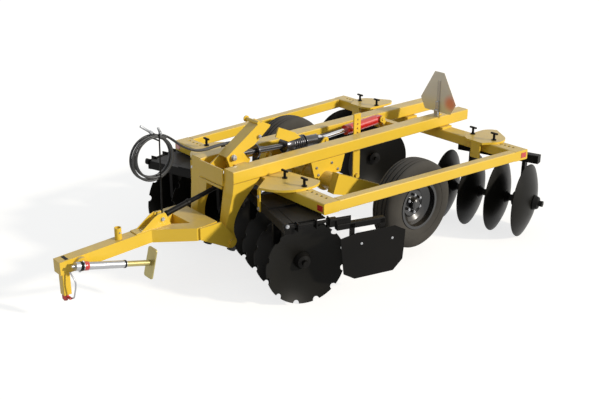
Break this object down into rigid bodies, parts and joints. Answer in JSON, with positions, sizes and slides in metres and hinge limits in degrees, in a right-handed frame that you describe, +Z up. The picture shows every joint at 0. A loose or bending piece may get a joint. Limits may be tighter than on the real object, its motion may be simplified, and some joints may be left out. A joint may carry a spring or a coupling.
{
  "type": "disc harrow",
  "caption": "Towed tandem disc harrow: yellow square-tube frame, dished black blades on angled gangs, raised transport wheels, levelling linkage, folding tongue with stowed jack",
  "frame": {"origin": "On the ground under the middle of the machine's overall length and width, as it stands on its blades", "axes": "+X the machine's left, +Y its rear, +Z up; it is towed towards -Y"},
  "size_m": [2.704, 4.2513, 1.3449],
  "materials": {
    "yellow_paint": "glossy golden yellow paint, dusty",
    "black_paint": "satin black paint",
    "blade_black": "satin black paint on steel discs",
    "tyre_rubber": "dusty rubber",
    "rim_black": "gloss black paint",
    "link_metal": "gloss black and bright steel",
    "red_paint": "gloss red paint",
    "rod_chrome": "polished",
    "bare_aluminium": "bare back of a sheet",
    "hose_rubber": "satin",
    "reflector_red": "reflective sheet",
    "zinc": "zinc plated"
  },
  "bodies": {
    "frame": {"main_beams": "yellow_paint", "front_cross_beam": "yellow_paint", "rear_cross_beam": "yellow_paint", "side_rails": "yellow_paint", "gang_plates": "yellow_paint", "gang_clamps": "black_paint", "angle_pins": "black_paint", "front_hangers": "black_paint", "rear_hangers": "black_paint", "front_gang_beams": "black_paint", "rear_gang_beams": "black_paint", "front_standards": "black_paint", "rear_standards": "black_paint", "deflector_bars": "black_paint", "deflectors": "black_paint", "front_posts": "yellow_paint", "axle_brackets": "yellow_paint", "mast": "yellow_paint", "cylinder_anchor": "yellow_paint", "stop_bar": "yellow_paint", "warning_sign": "bare_aluminium", "sign_bracket": "yellow_paint", "hoses": "hose_rubber", "reflectors": "reflector_red"},
    "wheel_axle": {"lift_axle": "yellow_paint"},
    "wheel_left": {"left_tyre": "tyre_rubber", "left_wheel": "rim_black"},
    "wheel_right": {"right_tyre": "tyre_rubber", "right_wheel": "rim_black"},
    "gang_front_left": {"front_left_blades": "blade_black", "front_left_axle": "black_paint"},
    "gang_front_right": {"front_right_blades": "blade_black", "front_right_axle": "black_paint"},
    "gang_rear_left": {"rear_left_blades": "blade_black", "rear_left_axle": "black_paint"},
    "gang_rear_right": {"rear_right_blades": "blade_black", "rear_right_axle": "black_paint"},
    "crank": {"levelling_crank": "yellow_paint"},
    "link": {"levelling_link": "link_metal", "levelling_spring": "black_paint"},
    "strut": {"turnbuckle": "black_paint"},
    "drawbar": {"tongue": "yellow_paint", "tongue_lugs": "yellow_paint", "hitch_post": "yellow_paint", "hitch_pin": "red_paint", "jack_bracket": "yellow_paint", "hose_rack": "black_paint", "hose_coil": "hose_rubber"},
    "jack": {"jack_body": "zinc"},
    "jack_inner": {"jack_leg": "zinc"},
    "cylinder": {"cylinder_barrel": "red_paint"},
    "rod": {"cylinder_rod": "rod_chrome"}
  },
  "joints": [
    {"name": "wheel_lift", "type": "hinge", "parent": "frame", "child": "wheel_axle", "pos_m": [0, 0.22233, 0.655], "axis": [-1, 0, 0], "range_deg": [0, 35]},
    {"name": "left_wheel_spin", "type": "hinge", "parent": "wheel_axle", "child": "wheel_left", "pos_m": [0.817, 0.71533, 0.48], "axis": [1, 0, 0], "continuous": true},
    {"name": "right_wheel_spin", "type": "hinge", "parent": "wheel_axle", "child": "wheel_right", "pos_m": [-0.817, 0.71533, 0.48], "axis": [1, 0, 0], "continuous": true},
    {"name": "front_left_gang_spin", "type": "hinge", "parent": "frame", "child": "gang_front_left", "pos_m": [0.56365, -0.43827, 0.33], "axis": [0.9563, -0.2924, 0], "continuous": true},
    {"name": "front_right_gang_spin", "type": "hinge", "parent": "frame", "child": "gang_front_right", "pos_m": [-0.56365, -0.43827, 0.33], "axis": [-0.9563, -0.2924, 0], "continuous": true},
    {"name": "rear_left_gang_spin", "type": "hinge", "parent": "frame", "child": "gang_rear_left", "pos_m": [0.81365, 1.69694, 0.33], "axis": [0.9563, 0.2924, 0], "continuous": true},
    {"name": "rear_right_gang_spin", "type": "hinge", "parent": "frame", "child": "gang_rear_right", "pos_m": [-0.81365, 1.69694, 0.33], "axis": [-0.9563, 0.2924, 0], "continuous": true},
    {"name": "crank_turn", "type": "hinge", "parent": "frame", "child": "crank", "pos_m": [0, -0.51767, 0.84], "axis": [-1, 0, 0], "range_deg": [0, 58.7]},
    {"name": "link_turn", "type": "hinge", "parent": "wheel_axle", "child": "link", "pos_m": [0, 0.41233, 0.908], "axis": [1, 0, 0], "range_deg": [0, 26.1]},
    {"name": "tongue_fold", "type": "hinge", "parent": "frame", "child": "drawbar", "pos_m": [0, -0.76267, 0.35], "axis": [1, 0, 0], "range_deg": [0, 8.5]},
    {"name": "turnbuckle_turn", "type": "hinge", "parent": "drawbar", "child": "strut", "pos_m": [0, -1.25167, 0.61], "axis": [-1, 0, 0], "range_deg": [0, 0.4]},
    {"name": "cylinder_turn", "type": "hinge", "parent": "frame", "child": "cylinder", "pos_m": [0, 1.13233, 0.955], "axis": [1, 0, 0], "range_deg": [0, 14.1]},
    {"name": "cylinder_stroke", "type": "slide", "parent": "cylinder", "child": "rod", "axis": [0, 0.9979, 0.0651], "range_m": [0, 0.093]},
    {"name": "jack_swing", "type": "hinge", "parent": "drawbar", "child": "jack", "pos_m": [0.12, -1.9661, 0.45873], "axis": [-1, 0, 0], "range_deg": [0, 75.5]},
    {"name": "jack_slide", "type": "slide", "parent": "jack", "child": "jack_inner", "axis": [0, -0.9681, 0.2504], "range_m": [0, 0.2]}
  ],
  "couplings": [
    {"joint": "crank_turn", "follows": "wheel_lift", "ratio": 1.6716},
    {"joint": "link_turn", "follows": "wheel_lift", "ratio": 0.741},
    {"joint": "tongue_fold", "follows": "wheel_lift", "ratio": 0.2403},
    {"joint": "turnbuckle_turn", "follows": "wheel_lift", "ratio": 0.0099},
    {"joint": "cylinder_turn", "follows": "wheel_lift", "ratio": 0.3958},
    {"joint": "cylinder_stroke", "follows": "wheel_lift", "m_per_rad": 0.1511}
  ]
}
